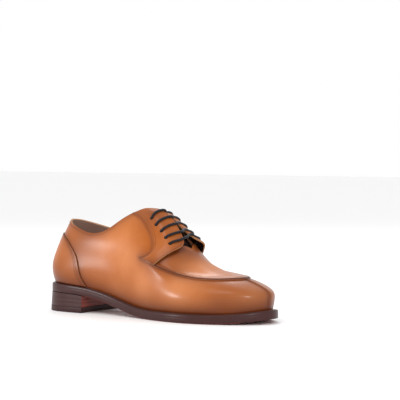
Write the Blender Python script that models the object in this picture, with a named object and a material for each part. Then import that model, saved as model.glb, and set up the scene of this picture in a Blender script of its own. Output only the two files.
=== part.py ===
"""Right-foot apron toe derby, built as the maker's separate pieces around one last.

Tables and functions work in millimetres, with X from the back of the heel to the toe, +Y towards
the inner (medial) side of the right foot and Z up from the floor. Objects are made in metres,
with the origin in the middle of the shoe's footprint.

A place on the last is given by a turn and a level. The turn runs from 0 at the back of the heel to
-1 at the toe along the outer (lateral) side, and to +1 at the toe along the inner side. The level
runs from 0 at the welt to 1 at the crest over the foot.
"""

import math

import bmesh
import bpy
import numpy as np

MM = 0.001

# Driving sizes of a size 42 shoe, in millimetres
WALL = 2.2
GAP = 0.3
OVERLAY_GAP = 0.6
COUNTER_GAP = 0.8
APRON_GAP = 1.1
OUTSOLE_THICKNESS = 5.5
WELT_THICKNESS = 3.7
WELT_WIDTH = 13.6
TOP_PIECE_THICKNESS = 6.0
HEEL_BREAST = 63.0
HEEL_HOLLOW = 2.5
HEEL_FLARE = 1.3
APRON_THICKNESS = 1.3
COUNTER_THICKNESS = 1.2
FACING_THICKNESS = 1.8
TONGUE_THICKNESS = 2.0
TONGUE_DEPTH = 1.5
INSOLE_RISE = 2.5
APRON_COVER = 2.9
FLAP_RISE = 3.0
THROAT_START = 100.0
THROAT_END = 172.0
THROAT_ROUND = 14.0
THROAT_HALF_WIDTH = 14.0
APRON_SIDE_START = 166.0
APRON_TOP_START = 178.0
TONGUE_TOP = 141.0
TONGUE_END = 188.0
EYELET_RADIUS = 2.5
LACE_WIDTH = 3.4
LACE_THICKNESS = 2.2
LACE_RIDE = 0.7
SOLE_SIDES = 72

# Outline of the sole seen from above
SOLE_LINE = (
    # x, lateral half width, medial half width
    (1.5, 0.0, 0.0),
    (9.0, 21.5, 21.5),
    (27.0, 32.0, 32.0),
    (56.0, 33.8, 33.0),
    (107.0, 34.5, 28.0),
    (150.0, 42.5, 34.0),
    (185.0, 50.5, 44.5),
    (212.0, 52.3, 50.0),
    (241.0, 46.5, 48.5),
    (268.0, 34.5, 38.0),
    (287.0, 19.5, 22.5),
    (296.5, 0.0, 0.0),
)

# Underside of the outsole in side view: heel seat, arch, tread and toe spring
SOLE_SIDE = (
    # x, height
    (0.0, 22.0),
    (30.0, 21.3),
    (62.0, 19.4),
    (90.0, 14.8),
    (118.0, 7.4),
    (142.0, 2.1),
    (165.0, 0.0),
    (200.0, 0.0),
    (235.0, 0.0),
    (258.0, 0.8),
    (280.0, 3.0),
    (296.5, 5.5),
)

# The last's lines, from the heel to the toe: half widths about the centre line, and height.
# The feather line is where the upper meets the welt, and its height follows the welt.
FEATHER_LINE = (
    # x, lateral, medial, height
    (5.5, 0.0, 0.0, 0.0),
    (12.0, 17.5, 17.5, 0.0),
    (28.0, 27.5, 27.5, 0.0),
    (56.0, 30.3, 29.5, 0.0),
    (107.0, 30.5, 23.5, 0.0),
    (150.0, 37.5, 29.0, 0.0),
    (185.0, 45.0, 38.5, 0.0),
    (212.0, 46.6, 44.3, 0.0),
    (241.0, 41.0, 43.0, 0.0),
    (268.0, 29.0, 32.5, 0.0),
    (283.0, 16.5, 19.0, 0.0),
    (290.0, 0.0, 0.0, 0.0),
)
BULGE_LINE = (
    # x, lateral, medial, height
    (2.5, 0.0, 0.0, 46.0),
    (9.0, 19.0, 19.0, 45.5),
    (26.0, 30.3, 30.3, 44.0),
    (56.0, 33.0, 32.0, 42.0),
    (107.0, 34.0, 26.5, 35.0),
    (150.0, 41.5, 33.0, 27.0),
    (185.0, 48.2, 42.0, 23.0),
    (212.0, 49.5, 47.3, 22.0),
    (241.0, 43.8, 46.0, 22.5),
    (268.0, 31.5, 35.0, 23.5),
    (284.0, 18.5, 21.0, 24.5),
    (291.3, 0.0, 0.0, 25.0),
)
WALL_LINE = (
    # x, lateral, medial, height
    (7.0, 0.0, 0.0, 66.0),
    (13.0, 17.5, 17.5, 66.0),
    (30.0, 28.0, 28.0, 65.0),
    (56.0, 30.8, 30.5, 63.0),
    (85.0, 31.3, 29.5, 61.0),
    (107.0, 32.5, 28.0, 58.0),
    (150.0, 40.0, 34.5, 50.0),
    (185.0, 45.0, 41.5, 42.0),
    (212.0, 45.0, 44.5, 38.0),
    (241.0, 39.5, 42.5, 36.0),
    (268.0, 27.0, 31.0, 36.0),
    (279.5, 15.5, 18.0, 35.8),
    (286.5, 0.0, 0.0, 35.8),
)
SHOULDER_LINE = (
    # x, lateral, medial, height
    (15.3, 0.0, 0.0, 86.0),
    (20.0, 13.0, 13.0, 86.0),
    (32.0, 22.5, 22.5, 85.5),
    (56.0, 27.5, 27.5, 84.0),
    (85.0, 28.5, 28.0, 82.0),
    (107.0, 29.5, 28.0, 80.0),
    (125.0, 31.5, 29.0, 77.0),
    (140.0, 34.5, 31.0, 71.5),
    (155.0, 37.8, 33.5, 65.0),
    (170.0, 40.0, 36.0, 58.3),
    (185.0, 39.6, 37.8, 52.9),
    (200.0, 38.0, 37.2, 48.7),
    (212.0, 36.8, 37.2, 46.7),
    (225.0, 34.0, 35.5, 45.4),
    (236.0, 29.0, 30.9, 44.9),
    (246.0, 22.5, 24.6, 44.9),
    (254.0, 14.0, 16.0, 45.1),
    (261.0, 0.0, 0.0, 45.4),
)
BROW_LINE = (
    # x, lateral, medial, height
    (26.0, 0.0, 0.0, 110.0),
    (32.0, 8.5, 8.5, 110.0),
    (56.0, 15.5, 15.5, 110.5),
    (85.0, 17.0, 17.0, 110.5),
    (107.0, 17.5, 17.5, 110.0),
    (125.0, 18.5, 18.0, 108.0),
    (150.0, 20.5, 20.0, 101.0),
    (166.0, 22.0, 22.0, 87.0),
    (182.0, 23.0, 22.0, 71.4),
    (200.0, 22.0, 20.8, 56.4),
    (212.0, 21.5, 20.5, 51.3),
    (224.0, 19.0, 19.0, 48.7),
    (234.0, 14.5, 15.0, 47.3),
    (240.0, 9.0, 10.0, 46.9),
    (244.0, 0.0, 0.0, 46.8),
)
CREST_LINE = (
    # x, lateral, medial, height
    (31.0, 0.0, 0.0, 121.0),
    (56.0, 0.0, 0.0, 122.5),
    (85.0, 0.0, 0.0, 123.0),
    (107.0, 0.0, 0.0, 122.5),
    (125.0, 0.0, 0.0, 119.0),
    (141.0, 0.0, 0.0, 115.0),
    (150.0, 0.0, 0.0, 111.8),
    (158.0, 0.0, 0.0, 106.3),
    (166.0, 0.0, 0.0, 98.3),
    (174.0, 0.0, 0.0, 89.0),
    (182.0, 0.0, 0.0, 80.3),
    (191.0, 0.0, 0.0, 70.9),
    (205.0, 0.0, 0.0, 60.5),
    (218.0, 0.0, 0.0, 53.8),
    (229.0, 0.0, 0.0, 50.0),
)
LAST_LINES = (FEATHER_LINE, BULGE_LINE, WALL_LINE, SHOULDER_LINE, BROW_LINE, CREST_LINE)
LINE_LEVELS = (0.0, 0.12, 0.31, 0.50, 0.76, 1.0)
APRON_LEVEL = 0.50

# Shift of the whole last's centre line towards the inner side
CENTRE_LINE = (
    # x, y
    (0.0, 0.0),
    (90.0, 0.0),
    (150.0, 1.0),
    (205.0, 1.5),
    (260.0, 0.5),
    (298.0, 0.0),
)

# Height of the upper's edge at the collar, from the back of the heel to the facings
TOPLINE = (
    # x, lateral, medial
    (18.0, 103.3, 103.3),
    (23.0, 102.5, 102.5),
    (32.0, 99.6, 99.6),
    (46.0, 95.3, 95.3),
    (60.0, 91.2, 92.0),
    (74.0, 89.0, 90.8),
    (84.0, 90.2, 92.0),
    (93.0, 93.8, 95.2),
    (105.0, 102.0, 102.8),
    (118.5, 111.0, 111.4),
    (130.0, 116.0, 116.2),
    (145.0, 120.0, 120.0),
)

# Front edge of the counter panel, from the welt to its peak at the back
COUNTER_SEAM = (
    # level, x
    (0.03, 66.5),
    (0.12, 61.0),
    (0.31, 52.5),
    (0.41, 42.0),
    (0.47, 32.0),
    (0.505, 22.0),
)

# Facing: its rear seam and its free edge, from the top at the collar to the derby corner
FACING_EDGES = (
    # share down, rear x, rear level, front x, front level
    (0.00, 121.0, 0.800, 150.0, 0.950),
    (0.14, 136.0, 0.755, 158.0, 0.950),
    (0.28, 147.5, 0.710, 167.0, 0.945),
    (0.42, 155.0, 0.680, 175.5, 0.930),
    (0.56, 159.0, 0.640, 183.0, 0.890),
    (0.70, 159.5, 0.590, 184.0, 0.805),
    (0.86, 155.0, 0.530, 179.0, 0.670),
    (1.00, 146.5, 0.465, 170.5, 0.495),
)

# Eyelets of a facing, from the top, and where each lace bar passes the flap's edge
EYELETS = (
    # share down, share across, share down at the edge
    (0.21, 0.32, 0.06),
    (0.31, 0.335, 0.19),
    (0.42, 0.405, 0.29),
    (0.53, 0.49, 0.405),
    (0.64, 0.66, 0.50),
)


def column(table, index):
    """One column of a table as an array."""
    return np.array([row[index] for row in table], dtype=float)


def spline(knots, values, at):
    """Natural cubic spline through the values at the knots, read at the given places."""
    knots = np.asarray(knots, dtype=float)
    values = np.asarray(values, dtype=float)
    at = np.asarray(at, dtype=float)
    count = len(knots)
    step = np.diff(knots)
    system = np.eye(count)
    right = np.zeros_like(values)
    for i in range(1, count - 1):
        system[i, i - 1:i + 2] = step[i - 1], 2 * (step[i - 1] + step[i]), step[i]
        slope_after = (values[i + 1] - values[i]) / step[i]
        slope_before = (values[i] - values[i - 1]) / step[i - 1]
        right[i] = 6 * (slope_after - slope_before)
    bend = np.linalg.solve(system, right)
    i = np.clip(np.searchsorted(knots, at, side="right") - 1, 0, count - 2)
    spread = (...,) + (None,) * (values.ndim - 1)
    width = step[i][spread]
    before = ((knots[i + 1] - at) / step[i])[spread]
    after = ((at - knots[i]) / step[i])[spread]
    curve = (before ** 3 - before) * bend[i] + (after ** 3 - after) * bend[i + 1]
    return before * values[i] + after * values[i + 1] + curve * width ** 2 / 6


def share_of_turn(turn):
    """Share of a line's length, packed towards its round ends."""
    return (1 - np.cos(np.pi * np.abs(turn))) / 2


def turn_of_share(share):
    """Size of the turn at a share of a line's length."""
    return np.arccos(1 - 2 * np.clip(share, 0, 1)) / np.pi


def fold(turn):
    """Bring a turn past the toe back to the other side."""
    return (np.asarray(turn, dtype=float) + 1) % 2 - 1


def along(table, index, turn):
    """A column of a line's table, read at the size of a turn."""
    x = column(table, 0)
    knots = turn_of_share((x - x[0]) / (x[-1] - x[0]))
    return spline(knots, column(table, index), np.abs(turn))


def centre(x):
    """Sideways place of the centre line."""
    return spline(column(CENTRE_LINE, 0), column(CENTRE_LINE, 1), x)


def half_width(table, turn):
    """Signed distance from the centre line, negative on the lateral side."""
    return np.where(turn < 0, -along(table, 1, turn), along(table, 2, turn))


def underside(x):
    """Height of the outsole's underside, flat on the floor under the ball of the foot."""
    return np.maximum(spline(column(SOLE_SIDE, 0), column(SOLE_SIDE, 1), x), 0)


def welt_top(x):
    """Height of the welt's upper face."""
    return underside(x) + OUTSOLE_THICKNESS + GAP + WELT_THICKNESS


def sole_outline(turn, inset):
    """Points of the sole's outline, moved inwards by the inset."""

    def edge(place):
        place = fold(place)
        x = SOLE_LINE[0][0] + (SOLE_LINE[-1][0] - SOLE_LINE[0][0]) * share_of_turn(place)
        return np.stack([x, centre(x) + half_width(SOLE_LINE, place)], -1)

    turn = np.asarray(turn, dtype=float)
    run = edge(turn + 1e-4) - edge(turn - 1e-4)
    run /= np.linalg.norm(run, axis=-1, keepdims=True)
    inwards = np.stack([run[..., 1], -run[..., 0]], -1)
    return edge(turn) + inwards * inset


def last_point(turn, level):
    """Point of the last's skin. A level past the crest comes down on the other side."""
    turn, level = np.broadcast_arrays(fold(turn), np.asarray(level, dtype=float))
    turn = np.where(level > 1, -turn, turn)
    level = np.where(level > 1, 2 - level, level)
    rib = []
    for side in (-np.abs(turn), np.abs(turn)):
        line_points = []
        for table in LAST_LINES:
            x = table[0][0] + (table[-1][0] - table[0][0]) * share_of_turn(side)
            height = along(table, 3, side)
            if table is FEATHER_LINE:
                height = welt_top(x) + GAP
            y = centre(x) + np.where(side > 0, along(table, 2, side), -along(table, 1, side))
            line_points.append(np.stack([x, y, height], -1))
        rib.append(line_points)
    controls = rib[0] + rib[1][-2::-1]
    levels = list(LINE_LEVELS) + [2 - value for value in LINE_LEVELS[-2::-1]]
    weights = spline(levels, np.eye(len(levels)), np.where(turn < 0, level, 2 - level))
    return sum(weights[..., i, None] * controls[i] for i in range(len(controls)))


def skin(turn, level, offset):
    """Point of the last's skin, moved outwards along its normal by the offset."""
    step = 8e-3
    around = last_point(np.asarray(turn) + step, level) - last_point(np.asarray(turn) - step, level)
    upwards = last_point(turn, np.asarray(level) + step) - last_point(turn, np.asarray(level) - step)
    normal = np.cross(upwards, around)
    size = np.linalg.norm(normal, axis=-1, keepdims=True)
    normal = np.where(size > 1e-7, normal / np.maximum(size, 1e-7), np.array([0.0, 0.0, 1.0]))
    return last_point(turn, level) + normal * np.asarray(offset, dtype=float)[..., None]


def turn_at(x, level):
    """Size of the turn at which a level of the last reaches a distance from the heel."""
    level = np.asarray(level, dtype=float)
    levels = list(LINE_LEVELS) + [2 - value for value in LINE_LEVELS[-2::-1]]
    order = list(range(len(LAST_LINES))) + list(range(len(LAST_LINES) - 2, -1, -1))
    start = spline(levels, [LAST_LINES[i][0][0] for i in order], level)
    end = spline(levels, [LAST_LINES[i][-1][0] for i in order], level)
    return turn_of_share((x - start) / (end - start))


def rim_level(turn):
    """Level of the upper's edge at the collar and the throat, and 1 where it closes over the foot."""
    low = np.full(np.shape(turn), 0.3)
    high = np.ones(np.shape(turn))
    for _ in range(30):
        middle = (low + high) / 2
        point = last_point(turn, middle)
        x = point[..., 0]
        edge = np.where(turn < 0, topline(x, 1), topline(x, 2))
        run = np.clip((THROAT_END - x) / THROAT_ROUND, 0, 1)
        slot = np.where(x > THROAT_START, THROAT_HALF_WIDTH * np.sqrt(run * (2 - run)), 0.0)
        cut = (point[..., 2] > edge) | (np.abs(point[..., 1] - centre(x)) < slot)
        high = np.where(cut, middle, high)
        low = np.where(cut, low, middle)
    return np.where(np.abs(turn) >= THROAT_TURN - 1e-9, 1.0, (low + high) / 2)


def topline(x, side_column):
    """Height of the collar's edge on one side."""
    return spline(column(TOPLINE, 0), column(TOPLINE, side_column), x)


def smooth(share):
    """Ease from 0 to 1."""
    share = np.clip(share, 0, 1)
    return share * share * (3 - 2 * share)


THROAT_TURN = float(turn_at(THROAT_END, 1.0))


def ring_turns(count):
    """Turns once round the foot, counter-clockwise from above, starting at the toe."""
    return np.linspace(1, -1, count, endpoint=False)


def footprint_middle():
    """Middle of the sole's footprint, which is the object's origin."""
    turns = ring_turns(720)
    sole = sole_outline(turns, 0.0)
    heel = sole_outline(turns, -HEEL_FLARE)
    x_low = heel[:, 0].min()
    return np.array([
        (x_low + sole[:, 0].max()) / 2,
        (sole[:, 1].min() + sole[:, 1].max()) / 2,
        0.0,
    ])


ORIGIN = footprint_middle()


def material(name, color, roughness):
    """A plain finish."""
    finish = bpy.data.materials.new(name)
    finish.use_nodes = True
    shader = finish.node_tree.nodes["Principled BSDF"]
    shader.inputs["Base Color"].default_value = (*color, 1.0)
    shader.inputs["Roughness"].default_value = roughness
    return finish


def make_object(name, points, faces, finish):
    """An object from points in millimetres, with its faces turned outwards."""
    mesh = bpy.data.meshes.new(name)
    placed = (np.asarray(points, dtype=float).reshape(-1, 3) - ORIGIN) * MM
    mesh.from_pydata(placed.tolist(), [], faces)
    shape = bmesh.new()
    shape.from_mesh(mesh)
    bmesh.ops.recalc_face_normals(shape, faces=shape.faces)
    shape.to_mesh(mesh)
    shape.free()
    mesh.materials.append(finish)
    mesh.shade_smooth()
    mesh.set_sharp_from_angle(angle=math.radians(40))
    part = bpy.data.objects.new(name, mesh)
    bpy.context.scene.collection.objects.link(part)
    return part


def strip_faces(rows, columns, closed_rows, closed_columns):
    """Faces of a grid of points whose columns run first round the shoe and whose rows run up."""
    faces = []
    for i in range(columns if closed_columns else columns - 1):
        after = (i + 1) % columns
        for j in range(rows if closed_rows else rows - 1):
            above = (j + 1) % rows
            faces.append((i * rows + j, after * rows + j, after * rows + above, i * rows + above))
    return faces


def leather_sheet(name, outer, inner, finish, closed=False):
    """A sheet of leather between an outer and an inner grid of columns and rows.

    Grid points that meet, as along the crest, become one, and the free edges get a rim.
    """
    columns, rows = outer.shape[:2]
    outer = outer.reshape(-1, 3)
    inner = inner.reshape(-1, 3)
    _, first, joined = np.unique(np.round(outer, 4), axis=0, return_index=True, return_inverse=True)
    joined = first[joined.reshape(-1)]
    count = len(outer)
    faces = []
    sides = set()
    for face in strip_faces(rows, columns, False, closed):
        corners = list(dict.fromkeys(int(joined[corner]) for corner in face))
        if len(corners) < 3:
            continue
        faces.append(tuple(corners))
        faces.append(tuple(corner + count for corner in reversed(corners)))
        sides.update(zip(corners, corners[1:] + corners[:1]))
    for start, end in sorted(sides):
        if (end, start) not in sides:
            faces.append((end, start, start + count, end + count))
    used = sorted({corner for face in faces for corner in face})
    place = {corner: i for i, corner in enumerate(used)}
    points = np.concatenate([outer, inner])[used]
    return make_object(name, points, [tuple(place[corner] for corner in face) for face in faces], finish)


def last_sheet(name, turns, levels, outer, inner, finish, closed=False):
    """A sheet that follows the last between two heights over its skin."""
    turns, levels, outer, inner = np.broadcast_arrays(turns, levels, outer, inner)
    return leather_sheet(name, skin(turns, levels, outer), skin(turns, levels, inner), finish, closed)


def ladder_faces(count, start, upwards):
    """Rungs across a ring of points that mirrors itself about the shoe's length."""
    faces = [(start, start + 1, start + count - 1)]
    for i in range(1, count // 2 - 1):
        faces.append((start + i, start + i + 1, start + count - i - 1, start + count - i))
    faces.append((start + count // 2 - 1, start + count // 2, start + count // 2 + 1))
    return faces if upwards else [tuple(reversed(face)) for face in faces]


def wall_faces(count, levels):
    """Faces between rings of points that lie above each other."""
    faces = []
    for low in range(0, (levels - 1) * count, count):
        for i in range(count):
            after = (i + 1) % count
            faces.append((low + i, low + after, low + count + after, low + count + i))
    return faces


def plate(name, rings, finish):
    """A plate through rings of points from its underside to its top."""
    count = len(rings[0])
    faces = wall_faces(count, len(rings))
    faces += ladder_faces(count, 0, False)
    faces += ladder_faces(count, (len(rings) - 1) * count, True)
    return make_object(name, np.concatenate(rings), faces, finish)


def sole_ring(turns, inset, lift):
    """Ring on the sole's outline, a height above the outsole's underside."""
    edge = sole_outline(turns, inset)
    return np.column_stack([edge, underside(edge[:, 0]) + lift])


def make_outsole(finish):
    """Outsole with a softened lower edge."""
    turns = ring_turns(SOLE_SIDES)
    top = OUTSOLE_THICKNESS
    rings = [
        sole_ring(turns, 1.0, 0.0),
        sole_ring(turns, 0.25, 0.6),
        sole_ring(turns, 0.0, 1.6),
        sole_ring(turns, 0.0, top),
    ]
    return plate("outsole", rings, finish)


def make_welt(finish):
    """Ring of leather on the outsole, with a softened upper edge."""
    turns = ring_turns(SOLE_SIDES)
    low = OUTSOLE_THICKNESS + GAP
    top = low + WELT_THICKNESS
    rings = [
        sole_ring(turns, WELT_WIDTH, top),
        sole_ring(turns, WELT_WIDTH, low),
        sole_ring(turns, 0.3, low),
        sole_ring(turns, 0.3, top - 1.0),
        sole_ring(turns, 1.1, top),
    ]
    grid = np.stack(rings, axis=1)
    faces = strip_faces(len(rings), len(turns), True, True)
    return make_object("welt", grid, faces, finish)


def make_insole(finish):
    """Insole that fills the welt's ring and reaches over it to the upper's wall."""
    turns = ring_turns(SOLE_SIDES)
    low = OUTSOLE_THICKNESS + GAP
    shelf = low + WELT_THICKNESS + GAP
    wall = skin(turns, 0.0, np.full(len(turns), -(WALL + 0.7)))
    plug = WELT_WIDTH + 0.4
    brim_low = np.column_stack([wall[:, :2], underside(wall[:, 0]) + shelf])
    brim_top = np.column_stack([wall[:, :2], underside(wall[:, 0]) + shelf + INSOLE_RISE])
    rings = [
        sole_ring(turns, plug, low),
        sole_ring(turns, plug, shelf),
        brim_low,
        brim_top,
    ]
    return plate("insole", rings, finish)


def heel_ring(inset, height):
    """Ring round the heel, closed by its hollow breast. The height is a number or a function of x."""
    corner = turn_of_share((HEEL_BREAST - SOLE_LINE[0][0]) / (SOLE_LINE[-1][0] - SOLE_LINE[0][0]))
    round_back = sole_outline(np.linspace(corner, -corner, 33), inset)
    round_back[0, 0] = round_back[-1, 0] = HEEL_BREAST
    across = np.linspace(0, 1, 9)[1:-1]
    breast_y = round_back[-1, 1] + (round_back[0, 1] - round_back[-1, 1]) * across
    breast_x = HEEL_BREAST - HEEL_HOLLOW * np.sin(np.pi * across)
    edge = np.concatenate([round_back, np.column_stack([breast_x, breast_y])])
    heights = height(edge[:, 0]) if callable(height) else np.full(len(edge), height)
    return np.column_stack([edge, heights])


def heel_block(name, rings, finish):
    """A lift of the heel through rings from its underside to its top."""
    count = len(rings[0])
    faces = wall_faces(count, len(rings))
    faces.append(tuple(reversed(range(count))))
    top = (len(rings) - 1) * count
    faces.append(tuple(range(top, top + count)))
    return make_object(name, np.concatenate(rings), faces, finish)


def make_heel(finish):
    """Stacked heel between the top piece and the outsole."""

    def seat(x):
        return underside(x) - GAP

    rings = [
        heel_ring(-HEEL_FLARE + 0.3, TOP_PIECE_THICKNESS + GAP),
        heel_ring(-0.1, seat),
    ]
    return heel_block("heel", rings, finish)


def make_top_piece(finish):
    """The lift on the floor."""
    rings = [
        heel_ring(-HEEL_FLARE + 0.5, 0.0),
        heel_ring(-HEEL_FLARE, 0.6),
        heel_ring(-HEEL_FLARE + 0.25, TOP_PIECE_THICKNESS),
    ]
    return heel_block("top_piece", rings, finish)


def make_upper(finish):
    """Hollow shell of vamp and quarters, open at the collar, the throat and underneath."""
    front = np.linspace(1, THROAT_TURN, 16)[:-1]
    rear = np.linspace(THROAT_TURN, -THROAT_TURN, 49)
    bend = THROAT_TURN - np.array([0.004, 0.012])
    turns = np.concatenate([front, rear[:1], bend, rear[1:-1], -bend[::-1], rear[-1:], -front[:0:-1]])
    shares = np.array([0, 0.06, 0.13, 0.21, 0.3, 0.4, 0.5, 0.6, 0.7, 0.8, 0.9, 1])
    levels = rim_level(turns)[:, None] * shares
    return last_sheet("upper", turns[:, None], levels, 0.0, -WALL, finish, closed=True)


def make_counter(finish):
    """Panel round the back of the heel."""
    levels = np.array([0.03, 0.12, 0.22, 0.31, 0.38, 0.42, 0.45, 0.475, 0.492, 0.505])
    seam_x = spline(column(COUNTER_SEAM, 0), column(COUNTER_SEAM, 1), levels)
    reach = turn_at(seam_x, levels)
    across = np.linspace(1, -1, 27)
    turns = across[:, None] * reach
    return last_sheet("counter", turns, levels, COUNTER_GAP + COUNTER_THICKNESS, COUNTER_GAP, finish)


def make_apron(finish):
    """Panel over the vamp and toe, with its raised edge at the apron seam."""
    levels = APRON_LEVEL + np.array([0, 0.01, 0.025, 0.05, 0.1, 0.2, 0.3, 0.4, 0.5])
    raised = np.array([0.3, 0.5, 0.5, 0.1, 0, 0, 0, 0, 0])
    upwards = (levels - APRON_LEVEL) / (1 - APRON_LEVEL)
    start_x = APRON_SIDE_START + (APRON_TOP_START - APRON_SIDE_START) * upwards
    start = turn_at(start_x, levels)
    across = np.linspace(0, 1, 37)
    turns = -(start + (2 - 2 * start) * across[:, None])
    return last_sheet("apron", turns, levels, APRON_GAP + APRON_THICKNESS + raised, APRON_GAP, finish)


def make_tongue(finish):
    """Tongue under the throat, from under the vamp to the top of the facings."""
    places = np.linspace(TONGUE_TOP, TONGUE_END, 11)
    levels = np.linspace(0.66, 1.34, 13)
    turns = -turn_at(places[:, None], np.minimum(levels, 2 - levels))
    top = -(WALL + TONGUE_DEPTH)
    return last_sheet("tongue", turns, levels, top, top - TONGUE_THICKNESS, finish)


def facing_point(side, down, across, height):
    """Point on the outer face of a facing, or a height above it. The side is -1 or +1."""
    down, across = np.broadcast_arrays(np.asarray(down, dtype=float), np.asarray(across, dtype=float))
    shares = column(FACING_EDGES, 0)
    rear_x, rear_level, front_x, front_level = (
        spline(shares, column(FACING_EDGES, i), down) for i in range(1, 5)
    )
    x = rear_x + (front_x - rear_x) * across
    level = rear_level + (front_level - rear_level) * across
    settle = 1 - smooth((down - 0.6) / 0.4)
    lift = OVERLAY_GAP + APRON_COVER * smooth(across / 0.35) + FLAP_RISE * across ** 1.5 * settle
    return skin(side * turn_at(x, level), level, lift + FACING_THICKNESS + height)


def facing_normal(side, down, across):
    """Outward direction of a facing at a place on it."""
    out = facing_point(side, down, across, 1.0) - facing_point(side, down, across, 0.0)
    return out / np.linalg.norm(out, axis=-1, keepdims=True)


def make_facing(name, side, finish):
    """Lace flap, sewn down along its rear seam and free at its front, with five holes."""
    down = np.linspace(0, 1, 16)
    across = np.linspace(0, 1, 9)
    outer = facing_point(side, down, across[:, None], 0.0)
    inner = facing_point(side, down, across[:, None], -FACING_THICKNESS)
    part = leather_sheet(name, outer, inner, finish)
    cutter = make_hole_cutter(name + "_holes", side, finish)
    holes = part.modifiers.new("Eyelets", "BOOLEAN")
    holes.operation = "DIFFERENCE"
    holes.solver = "EXACT"
    holes.object = cutter
    return part


def make_hole_cutter(name, side, finish):
    """Five pins through a facing, used only to cut its eyelets."""
    points = []
    faces = []
    sides = 12
    for down, across, _ in EYELETS:
        middle = facing_point(side, down, across, 0.0)
        axis = facing_normal(side, down, across)
        first = np.cross(axis, [0.0, 1.0, 0.0])
        first /= np.linalg.norm(first)
        second = np.cross(axis, first)
        start = len(points)
        for depth in (-6.0, 4.0):
            for i in range(sides):
                angle = 2 * math.pi * i / sides
                spoke = first * math.cos(angle) + second * math.sin(angle)
                points.append(middle + axis * depth + spoke * EYELET_RADIUS)
        for i in range(sides):
            after = (i + 1) % sides
            faces.append((start + i, start + after, start + sides + after, start + sides + i))
        faces.append(tuple(start + i for i in reversed(range(sides))))
        faces.append(tuple(start + sides + i for i in range(sides)))
    cutter = make_object(name, points, faces, finish)
    cutter.hide_render = True
    cutter.display_type = "WIRE"
    return cutter


def lace_route(down, across, edge_down):
    """Route of a lace bar, out of one eyelet, over both flaps' edges and into the other eyelet."""
    ride = LACE_THICKNESS / 2 + LACE_RIDE
    half = []
    for side in (-1, 1):
        steps = [facing_point(side, down, across, -FACING_THICKNESS - 0.6)]
        steps.append(facing_point(side, down, across, -0.4))
        for share, height in ((0.12, ride - 0.1), (0.45, ride), (1.0, ride)):
            place = down + (edge_down - down) * share
            steps.append(facing_point(side, place, across + (1 - across) * share, height))
        half.append(steps)
    middle = (half[0][-1] + half[1][-1]) / 2 + np.array([0.3, 0.0, 0.3])
    stops = np.array(half[0] + [middle] + half[1][::-1])
    length = np.concatenate([[0], np.cumsum(np.linalg.norm(np.diff(stops, axis=0), axis=1))])
    return spline(length, stops, np.linspace(0, length[-1], 17))


def make_lace_bar(name, down, across, edge_down, finish):
    """One straight bar of lace."""
    route = lace_route(down, across, edge_down)
    sides = 6
    edge_run = facing_point(-1, down + 0.05, 1.0, 0.0) - facing_point(-1, down - 0.05, 1.0, 0.0)
    edge_run[1] = 0.0
    flat = edge_run / np.linalg.norm(edge_run)
    ahead = np.gradient(route, axis=0)
    ahead -= np.outer(ahead @ flat, flat)
    ahead /= np.linalg.norm(ahead, axis=1, keepdims=True)
    upward = np.cross(ahead, flat)
    points = []
    for i, place in enumerate(route):
        for k in range(sides):
            angle = 2 * math.pi * k / sides
            wide = flat * math.cos(angle) * LACE_WIDTH / 2
            deep = upward[i] * math.sin(angle) * LACE_THICKNESS / 2
            points.append(place + wide + deep)
    faces = strip_faces(sides, len(route), True, False)
    faces.append(tuple(reversed(range(sides))))
    last = (len(route) - 1) * sides
    faces.append(tuple(range(last, last + sides)))
    return make_object(name, points, faces, finish)


def main():
    """Make the shoe."""
    for old in list(bpy.data.objects):
        bpy.data.objects.remove(old, do_unlink=True)
    tan = material("tan_leather", (0.52, 0.21, 0.06), 0.3)
    dark_edge = material("dark_edge", (0.09, 0.045, 0.04), 0.4)
    sole_leather = material("sole_leather", (0.22, 0.08, 0.05), 0.5)
    lining = material("lining_leather", (0.2, 0.1, 0.06), 0.6)
    lace = material("waxed_cotton", (0.045, 0.035, 0.04), 0.7)
    rubber = material("top_piece_rubber", (0.05, 0.03, 0.03), 0.6)
    make_outsole(sole_leather)
    make_welt(dark_edge)
    make_heel(dark_edge)
    make_top_piece(rubber)
    make_insole(lining)
    make_upper(tan)
    make_counter(tan)
    make_apron(tan)
    make_tongue(lining)
    make_facing("facing_lateral", -1, tan)
    make_facing("facing_medial", 1, tan)
    for number, (down, across, edge_down) in enumerate(EYELETS, start=1):
        make_lace_bar(f"lace_bar_{number}", down, across, edge_down, lace)


main()
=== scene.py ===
# %% [markdown]
# # An apron toe derby for the right foot
# A derby is built round a last, the wooden form of a foot. The leather pieces are cut flat, sewn,
# pulled over the last, and then fixed to a welt and a sole. This lesson does the same: it first
# describes the last by a few lines, then lays each piece of leather over it.
#
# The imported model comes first. It is the fixed frame for everything else: it holds every piece of
# the shoe as a plain solid, in metres, with the toe towards +X, the inner side of the foot towards
# +Y and the floor at zero.

# %% Load the frame
import math

import bpy
import numpy as np
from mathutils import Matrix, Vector
from mathutils.kdtree import KDTree


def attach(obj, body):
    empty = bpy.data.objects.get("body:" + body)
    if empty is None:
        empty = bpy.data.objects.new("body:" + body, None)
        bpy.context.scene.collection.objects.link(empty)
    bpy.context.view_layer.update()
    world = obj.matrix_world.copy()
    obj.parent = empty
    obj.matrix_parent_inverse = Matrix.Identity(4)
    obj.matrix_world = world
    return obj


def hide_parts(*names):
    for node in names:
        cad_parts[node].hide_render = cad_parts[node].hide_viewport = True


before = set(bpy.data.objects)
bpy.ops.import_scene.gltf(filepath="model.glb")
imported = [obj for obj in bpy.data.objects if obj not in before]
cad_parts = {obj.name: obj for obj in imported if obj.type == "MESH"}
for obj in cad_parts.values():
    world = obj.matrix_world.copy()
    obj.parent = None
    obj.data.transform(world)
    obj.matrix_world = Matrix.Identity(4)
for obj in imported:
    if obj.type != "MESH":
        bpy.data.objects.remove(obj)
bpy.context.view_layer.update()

print("pieces in the frame:", len(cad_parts))

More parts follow.
